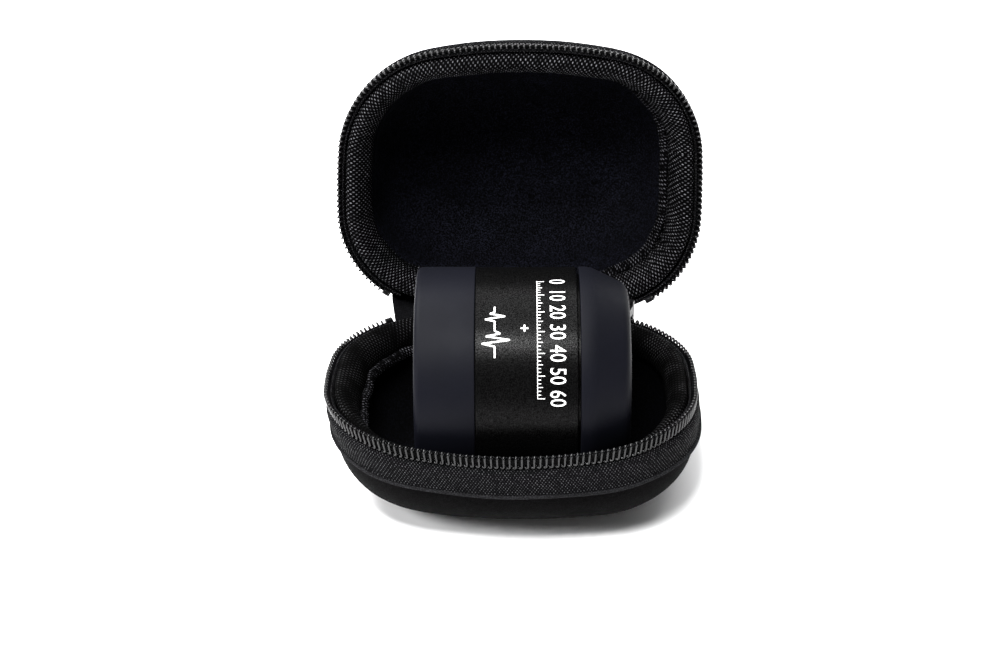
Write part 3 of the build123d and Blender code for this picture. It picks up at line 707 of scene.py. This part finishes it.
def binding_piece(half):
    """Woven binding rolled over the rim, puckered where it goes round the corners."""
    profile = soften(BINDING_PROFILE, 2)
    inner_side = np.clip((-4.0 - profile[:, 0]) / 1.5, 0, 1)

    def pucker(distance, offset, w):
        """Gathers on the inner side, deeper in the corners and at the lid's right."""
        _, _, angle = rim_at(distance)
        heavy = 0.35 + 0.65 * corner_share(angle)
        if half == "lid":
            heavy = heavy * (1 + 0.6 * np.cos(angle))
        fine = waves(distance, (2.1, 2.9, 4.3), 21 if half == "lid" else 22)
        slow = waves(distance, (13.0, 21.0, 34.0), 23)
        offset = offset + inner_side * (0.22 * heavy * fine + 0.18 * slow)
        if half == "lid":
            turned = np.clip(np.cos(angle - 0.45), 0, 1) ** 2
            ridge = np.sin(TAU * (distance + 1.3 * offset) / 2.9 + 2 * slow)
            offset = offset + 0.13 * turned * ridge * inner_side
            w = w + 0.13 * turned * ridge * np.clip((-2.6 - offset) / 1.5, 0, 1)
        w = w + inner_side * 0.2 * heavy * waves(distance, (3.7, 6.1), 24) + 0.06 * slow
        if half == "base":
            w = w - 2.4 * np.clip(-1.4 * np.sin(angle) - 0.1, 0, 1)
        return offset, w

    piece = rim_band(f"{half}_rim_binding", half, profile, step=0.35, bend=pucker)
    # In the tray the binding takes its darker copy, painted shade for the tray's inside.
    finish_piece(piece, BODY[half], "binding_weave", f"{half}_binding",
                 material=BINDING_SHADED_IN_TRAY if half == "base" else None)


def hem_piece(half):
    """Turned-in inner edge of the binding, which shows as a second small roll in places."""
    profile = soften(HEM_PROFILE, 2)

    def sink(distance, offset, w):
        """The roll stands out only where the binding is gathered."""
        _, _, angle = rim_at(distance)
        side = np.cos(angle - 0.4) if half == "lid" else -np.cos(angle + 0.6)
        show = np.clip(0.25 + 0.75 * side + 0.2 * waves(distance, (15.0, 26.0), 31), 0, 1)
        crumple = waves(distance, (1.9, 2.7, 3.9), 32)
        offset = offset + (1 - show) * 1.3 + (0.22 * crumple - 0.55) * show
        return offset, w - 0.3 * show + 0.35 * waves(distance, (9.0, 14.0), 33)

    piece = rim_band(f"{half}_binding_hem", half, profile, step=0.35, bend=sink)
    finish_piece(piece, BODY[half], "binding_weave", material=BINDING_HEM)


def tape_piece(half):
    """Zip tape round the rim, from one end of the hinge fabric to the other, and its selvedge."""
    profile = soften(TAPE_PROFILE, 2)
    outer_side = np.clip(profile[:, 0] / 0.5, 0, 1)

    def relaxed(share):
        """A sewn tape never lies quite flat. share says how far each point follows."""
        def relax(distance, offset, w):
            slow = waves(distance, (19.0, 31.0, 47.0), 41 if half == "lid" else 42)
            return offset + share * 0.1 * slow, w + share * 0.16 * waves(distance, (23.0, 37.0), 43)
        return relax

    start = back_distance(TAPE_LEFT_X)
    end = PERIMETER + back_distance(TAPE_RIGHT_X)
    name = f"{half}_zip_tape_weave"
    piece = rim_band(name, half, profile, start, end, 0.6, relaxed(outer_side))
    finish_piece(piece, BODY[half], "zip_tape", f"{half}_zip_tape")
    turn = np.linspace(0, TAU, 12, endpoint=False)
    edge = np.stack([1.02 + 0.3 * np.cos(turn), -7.95 + 0.34 * np.sin(turn)], axis=1)
    piece = rim_band(f"{half}_tape_selvedge", half, edge, start, end, 0.6, relaxed(1.0))
    finish_piece(piece, BODY[half], "zip_tape", material=SELVEDGE)


COIL_TURN = [(0.00, -0.28, -2.34), (0.04, -0.26, -1.95), (0.09, -0.26, -1.2), (0.16, -0.28, -0.62),
             (0.21, -0.38, -0.36), (0.25, -0.60, -0.27), (0.27, -0.82, -0.36), (0.28, -0.92, -0.7),
             (0.30, -0.92, -1.4), (0.34, -0.88, -2.05), (0.42, -0.72, -2.32), (0.54, -0.45, -2.38),
             (0.68, -0.30, -2.41), (0.86, -0.27, -2.42)]


def coil_piece(half):
    """The coil itself: one wire that loops up to its heads and crosses over at the tape."""
    start = back_distance(FABRIC_LEFT_X) + COIL_START_GAP
    end = PERIMETER + back_distance(COIL_RIGHT_X[half])
    turns = int((end - start) / COIL_PITCH)
    turn = np.array(COIL_TURN)
    path = np.vstack([turn + (number, 0, 0) for number in range(turns)])
    path = soften(path, 1, closed=False)
    jitter = 0.03 * waves(path[:, 0] * COIL_PITCH, (2.3, 5.1, 8.7), 51)
    distance = start + path[:, 0] * COIL_PITCH + jitter
    points = rim_points(half, distance, path[:, 1], path[:, 2]) / MM
    ahead = rim_points(half, distance + 0.01, path[:, 1], path[:, 2]) / MM
    side = (ahead - points) / np.linalg.norm(ahead - points, axis=1, keepdims=True)
    wire = tube(points, side, WIRE_RADIUS, 8) * MM
    rows, columns = wire.shape[:2]
    faces = grid_faces(rows, columns, False, True).tolist()
    last = (rows - 1) * columns
    faces += [list(range(columns)), list(range(last, last + columns))]
    piece = mesh_object(f"{half}_coil_turns", wire, faces)
    finish_piece(piece, BODY[half], "zip_coil", f"{half}_zip_coil")


def coil_core(half):
    """Cord that the coil is wound on."""
    turn = np.linspace(0, TAU, 10, endpoint=False)
    profile = np.stack([-0.61 + 0.26 * np.cos(turn), -1.45 + 0.55 * np.sin(turn)], axis=1)
    start = back_distance(FABRIC_LEFT_X) + COIL_START_GAP
    end = PERIMETER + back_distance(COIL_RIGHT_X[half]) - COIL_PITCH
    piece = rim_band(f"{half}_coil_core", half, profile, start, end, 0.8)
    finish_piece(piece, BODY[half], "shell_fabric")


def stops_piece(half):
    """Small folded clips over the last coil turns at both ends."""
    turn = np.linspace(0, TAU, 24, endpoint=False)
    square_x, square_y = (np.sign(v) * np.abs(v) ** 0.5 for v in (np.cos(turn), np.sin(turn)))
    profile = np.stack([-0.6 + 0.55 * square_x, -1.4 + 1.25 * square_y], axis=1)
    ends = (back_distance(FABRIC_LEFT_X) + COIL_START_GAP,
            PERIMETER + back_distance(COIL_RIGHT_X[half]) - STOP_LENGTH)
    points, faces = [], []
    for end in ends:
        clip = rim_band(f"{half}_stop", half, profile, end, end + STOP_LENGTH, 0.4)
        faces += [[len(points) + i for i in face.vertices] for face in clip.data.polygons]
        points += [tuple(vertex.co) for vertex in clip.data.vertices]
        bpy.data.objects.remove(clip)
    piece = mesh_object(f"{half}_end_stops", np.array(points), faces)
    piece.data.set_sharp_from_angle(angle=math.radians(50))
    finish_piece(piece, BODY[half], "zip_metal", f"{half}_zip_stops")


HINGE_WALLS = {
    "base": [(0.42, -8.0), (0.46, -6.0), (0.46, -4.2), (0.3, -2.9), (-0.3, -1.9), (-0.9, -1.3)],
    "lid": [(0.42, -8.0), (0.46, -6.4), (0.46, -4.8), (0.46, -3.2)]}


def hinge_fabric():
    """One strip of cloth up the base's back wall, over the gap and down the lid's."""
    x = np.linspace(FABRIC_LEFT_X, FABRIC_RIGHT_X, 84)
    tries = np.linspace(0, PERIMETER / 2, 6001)
    at_x, at_y, _ = rim_at(tries)
    behind = at_y > 0
    distance = np.interp(x, at_x[behind][::-1], tries[behind][::-1])
    base_side, lid_side = (
        np.stack([rim_points(half, distance, *spot) for spot in HINGE_WALLS[half]], axis=1)
        for half in ("base", "lid"))
    path = np.concatenate([base_side, lid_side[:, ::-1]], axis=1)
    top = base_side.shape[1] - 1
    path[:, top, 2] += (0.25 + 0.3 * waves(x, (11.0, 17.0, 29.0), 61)) * MM
    smooth = np.stack([soften(row, 3, closed=False) for row in path])
    normal = np.cross(np.gradient(smooth, axis=0), np.gradient(smooth, axis=1))
    normal *= CLOTH_HALF * MM / np.linalg.norm(normal, axis=2, keepdims=True)
    loop = np.concatenate([smooth + normal, (smooth - normal)[:, ::-1]], axis=1)
    rows, count = loop.shape[:2]
    faces = grid_faces(rows, count, False, True).tolist()
    faces += [list(range(count)), list(range((rows - 1) * count, rows * count))]
    piece = mesh_object("hinge_fabric", loop, faces)
    finish_piece(piece, None, "hinge_fabric", "hinge_strip_lower", "hinge_strip_upper")
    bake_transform(piece)


# ------------------------------------------------------------------ instrument

FOOT = np.array(mount("foot_face")["pos_m"]) / MM
AXIS = -np.array(mount("foot_face")["axis"])
FRONT = np.array([AXIS[1], -AXIS[0], 0.0])
UP = np.array([0.0, 0.0, 1.0])
BARREL_RADIUS = 20.9
PRINT_RAISED = 0.03


def device_points(axial, radius, angle):
    """Points in metres from the distance along the axis, radius, and angle up from the front."""
    axial, radius, angle = np.broadcast_arrays(axial, radius, angle)
    outward = np.cos(angle)[..., None] * FRONT + np.sin(angle)[..., None] * UP
    return (FOOT + axial[..., None] * AXIS + radius[..., None] * outward) * MM


ROUND_STEPS = 6


def rounded(corners):
    """Closed profile of (axial, radius, fillet) corners with each corner turned into an arc."""
    corners = np.array(corners, float)
    points = []
    befores, afters = np.roll(corners, 1, axis=0), np.roll(corners, -1, axis=0)
    for here, before, after in zip(corners, befores, afters):
        spot, fillet = here[:2], here[2]
        if fillet == 0:
            points.append(spot)
            continue
        back = (before[:2] - spot) / np.linalg.norm(before[:2] - spot)
        ahead = (after[:2] - spot) / np.linalg.norm(after[:2] - spot)
        for share in np.linspace(0, 1, ROUND_STEPS + 1):
            points.append(spot + fillet * ((1 - share) ** 2 * back + share ** 2 * ahead))
    return np.array(points)


LATHE_SEGMENTS = 224


def lathe(name, profile):
    """Closed profile turned about the instrument's axis."""
    angle = np.linspace(0, TAU, LATHE_SEGMENTS, endpoint=False)
    points = device_points(profile[None, :, 0], profile[None, :, 1], angle[:, None])
    faces = grid_faces(LATHE_SEGMENTS, len(profile), True, True).tolist()
    piece = mesh_object(name, points, faces)
    piece.data.set_sharp_from_angle(angle=math.radians(40))
    return piece


# Closed profiles of (axial, radius, fillet) corners.
FOOT_CORNERS = [(0.4, 0.05, 0), (0.4, 2.0, 0), (0.4, 6.0, 0), (0.4, 12.0, 0), (0.4, 17.4, 0.3),
                (0.0, 17.9, 0.25), (0.0, 21.0, 1.3), (11.5, 21.0, 0.22), (11.5, 19.35, 0.1),
                (8.5, 19.35, 0), (8.5, 18.0, 0), (1.8, 18.0, 0.4), (1.8, 0.05, 0)]
HEAD_CORNERS = [(31.5, 21.0, 0.28), (33.7, 21.0, 1.4), (40.4, 17.75, 0.9), (41.2, 16.3, 0.9),
                (41.2, 13.3, 0.4), (39.6, 13.3, 0), (39.6, 16.6, 0), (34.05, 16.6, 0),
                (34.05, 19.35, 0), (31.5, 19.35, 0)]


def foot_piece():
    """Rubber boot with a rounded foot edge, a fine lip at the barrel and a recessed foot face."""
    piece = lathe("rubber_foot", rounded(FOOT_CORNERS))
    finish_piece(piece, "device", "rubber", "foot_boot")


def head_piece():
    """Rubber ring: a short straight part, a cone, and a rounded lip round the sensing end."""
    piece = lathe("rubber_head", rounded(HEAD_CORNERS))
    finish_piece(piece, "device", "rubber", "head_ring")


# The print is a plain scale: ticks, numbers, and a beat trace. Places are (axial, angle up from
# the front) or (side, angle), in millimetres and degrees.
TEXT_SIZE = 3.3
NUMBER_STRETCH = 1.3
NUMBERS = ("0", "10", "20", "30", "40", "50", "60")
NUMBER_AXIAL = 27.0
SCALE_AXIAL = 23.4
SCALE_FROM, SCALE_TO = 20, 90
TICKS = 36
TRACE_AXIAL, TRACE_HEIGHT, TRACE_WIDTH = 15.3, 1.5, 0.32
TRACE = [(0, 41), (0, 47), (-1.6, 48.5), (1.9, 50.5), (-1.1, 52.5), (0.7, 54), (0, 55.5), (0, 61),
         (-1.2, 62.2), (1.3, 64), (-0.6, 65.6), (0, 66.6), (0, 70)]
CROSS_AXIAL, CROSS_ANGLE, CROSS_WIDTH = 20.9, 57, 0.3


def ink(name, shapes):
    """Flat shapes of (axial, arc length) polygons laid on the barrel as a thin raised layer."""
    points, faces = [], []
    for outline in shapes:
        outline = np.array(outline, float)
        first = len(points)
        count = len(outline)
        angle = outline[:, 1] / BARREL_RADIUS
        low = device_points(outline[:, 0], np.array(BARREL_RADIUS - 0.02), angle)
        high = device_points(outline[:, 0], np.array(BARREL_RADIUS + PRINT_RAISED), angle)
        points += [*low, *high]
        faces.append([first + i for i in range(count)])
        faces.append([first + count + i for i in range(count)])
        for i in range(count):
            after = (i + 1) % count
            faces.append([first + i, first + after, first + count + after, first + count + i])
    piece = mesh_object(name, np.array(points), faces)
    piece.data.set_sharp_from_angle(angle=math.radians(40))
    finish_piece(piece, "device", "white_print")


def stroke(start, end, width, pieces):
    """Bar between two (axial, arc) points, cut into short boxes so that it follows the barrel."""
    start, end = np.array(start, float), np.array(end, float)
    along = (end - start) / np.linalg.norm(end - start)
    side = np.array([-along[1], along[0]]) * width / 2
    bars = []
    for i in range(pieces):
        a = start + (end - start) * i / pieces
        b = start + (end - start) * (i + 1) / pieces
        bars.append([a - side, b - side, b + side, a + side])
    return bars


def arc_at(degrees):
    """Arc length on the barrel at an angle up from the front."""
    return math.radians(degrees) * BARREL_RADIUS


def number_mesh(text, axial, arc):
    """A number written along the barrel's girth, as a thin mesh bent to the barrel."""
    curve = bpy.data.curves.new(f"number_{text}", "FONT")
    curve.body = text
    curve.size = TEXT_SIZE
    curve.align_x, curve.align_y = "CENTER", "CENTER"
    curve.extrude = 0.025
    curve.resolution_u = 3
    holder = bpy.data.objects.new(f"number_{text}", curve)
    bpy.context.scene.collection.objects.link(holder)
    bpy.context.view_layer.update()
    depsgraph = bpy.context.evaluated_depsgraph_get()
    mesh = bpy.data.meshes.new_from_object(holder.evaluated_get(depsgraph))
    bpy.data.objects.remove(holder)
    flat = np.array([v.co for v in mesh.vertices])
    bent = device_points(axial + NUMBER_STRETCH * flat[:, 1], BARREL_RADIUS + 0.005 + flat[:, 2],
                         (arc - flat[:, 0]) / BARREL_RADIUS)
    mesh.vertices.foreach_set("co", bent.astype(np.float32).ravel())
    mesh.update()
    piece = bpy.data.objects.new(f"scale_number_{text}", mesh)
    bpy.context.scene.collection.objects.link(piece)
    finish_piece(piece, "device", "white_print")


def print_marks():
    """White marks on the barrel: a numbered scale, a beat trace and a small cross."""
    scale_low, scale_high = arc_at(SCALE_FROM), arc_at(SCALE_TO)
    bars = []
    for tick in range(TICKS + 1):
        arc = scale_low + (scale_high - scale_low) * tick / TICKS
        length = 1.3 if tick % 6 == 0 else 0.9 if tick % 3 == 0 else 0.55
        bars += stroke((SCALE_AXIAL, arc), (SCALE_AXIAL + length, arc), 0.16, 1)
    line_axial = SCALE_AXIAL - 0.1
    bars += stroke((line_axial, scale_low - 0.08), (line_axial, scale_high + 0.08), 0.12, 24)
    trace = [(TRACE_AXIAL + TRACE_HEIGHT * side, arc_at(degrees)) for side, degrees in TRACE]
    for before, after in zip(trace, trace[1:]):
        bars += stroke(before, after, TRACE_WIDTH, 2)
    cross = arc_at(CROSS_ANGLE)
    bars += stroke((CROSS_AXIAL - 0.7, cross), (CROSS_AXIAL + 0.7, cross), CROSS_WIDTH, 1)
    bars += stroke((CROSS_AXIAL, arc_at(CROSS_ANGLE - 1.9)),
                   (CROSS_AXIAL, arc_at(CROSS_ANGLE + 1.9)), CROSS_WIDTH, 2)
    ink("barrel_scale", bars)
    for index, text in enumerate(NUMBERS):
        share = index / (len(NUMBERS) - 1)
        number_mesh(text, NUMBER_AXIAL, scale_high - (scale_high - scale_low) * share)


# ------------------------------------------------------------------ stage

FLOOR_HALF = 4000
FLOOR_DROP = 0.02       # just clear of the case's underside
# Softboxes: name, position, target, width, height and watts.
LIGHTS = [
    ("key_softbox", (-75, -250, 575), (0, 0, 30), 190, 140, 6.0),
    ("back_softbox", (-330, 190, 560), (20, 0, 20), 300, 300, 8.0),
    ("floor_softbox", (60, 260, 900), (0, 150, 0), 900, 900, 10.0),
    ("left_softbox", (-430, -230, 360), (10, 10, 40), 170, 170, 3.0),
    ("rear_softbox", (260, 560, 230), (0, 30, 40), 300, 300, 1.6)]
ROOM_STRENGTH = 0.22
CAMERA_AZIMUTH = math.radians(2.0)
CAMERA_ELEVATION = math.radians(32.0)
CAMERA_ROLL = -0.0075
CAMERA_DISTANCE = 379.4
CAMERA_LENS = 70.2
AIM_X = -2.0
AIM_ABOVE_RIM = 10.7


def floor():
    """Plain pale floor with a faint mottling."""
    g = Graph("studio_floor")
    cloud = g.noise(60.0, 2.0)
    g.set(Base_Color=g.mix(cloud, (0.93, 0.93, 0.935), (0.95, 0.95, 0.955)),
          Roughness=0.9, Specular_IOR_Level=0.2)
    signs = np.array([(-1, -1), (1, -1), (1, 1), (-1, 1)])
    corners = np.hstack([signs * FLOOR_HALF, np.full((4, 1), -FLOOR_DROP)]) * MM
    piece = mesh_object("floor", corners, [[0, 1, 2, 3]])
    piece.data.materials.append(g.material)


def softbox(name, position, target, width, height, watts):
    """Rectangular area light at a position, aimed at a target, all in millimetres."""
    lamp = bpy.data.lights.new(name, "AREA")
    lamp.shape = "RECTANGLE"
    lamp.size, lamp.size_y = width * MM, height * MM
    lamp.energy = watts
    holder = bpy.data.objects.new(name, lamp)
    holder.location = Vector(position) * MM
    holder.rotation_euler = (Vector(target) - Vector(position)).to_track_quat("-Z", "Y").to_euler()
    bpy.context.scene.collection.objects.link(holder)


def lights():
    """A softbox over the front, softer ones around, and a pale room."""
    for light in LIGHTS:
        softbox(*light)
    world = bpy.data.worlds.new("room")
    world.use_nodes = True
    background = world.node_tree.nodes["Background"]
    background.inputs["Color"].default_value = (1.0, 1.0, 1.0, 1)
    background.inputs["Strength"].default_value = ROOM_STRENGTH
    bpy.context.scene.world = world
    bpy.context.scene.view_settings.view_transform = "Standard"


def camera():
    """Camera a little to the right, 32 degrees up, with a trace of roll."""
    sine, cosine = math.sin(CAMERA_ELEVATION), math.cos(CAMERA_ELEVATION)
    back, right, up = Vector((0, -cosine, sine)), Vector((1, 0, 0)), Vector((0, sine, cosine))
    rolled_right = right * math.cos(CAMERA_ROLL) + up * math.sin(CAMERA_ROLL)
    rolled_up = up * math.cos(CAMERA_ROLL) - right * math.sin(CAMERA_ROLL)
    matrix = Matrix((rolled_right, rolled_up, back)).transposed().to_4x4()
    matrix.translation = (Vector((AIM_X, 0, RIM_Z + AIM_ABOVE_RIM)) + back * CAMERA_DISTANCE) * MM
    data = bpy.data.cameras.new("camera")
    data.sensor_width = 36.0
    data.lens = CAMERA_LENS
    data.clip_start, data.clip_end = 0.01, 20
    holder = bpy.data.objects.new("camera", data)
    holder.matrix_world = Matrix.Rotation(CAMERA_AZIMUTH, 4, "Z") @ matrix
    bpy.context.scene.collection.objects.link(holder)
    bpy.context.scene.camera = holder


# ------------------------------------------------------------------ build

camera()
floor()
lights()
dress_cad_nodes()
for half_name in ("base", "lid"):
    shell_piece(half_name)
    lining_piece(half_name)
    binding_piece(half_name)
    hem_piece(half_name)
    tape_piece(half_name)
    coil_piece(half_name)
    coil_core(half_name)
    stops_piece(half_name)
hinge_fabric()
foot_piece()
head_piece()
print_marks()
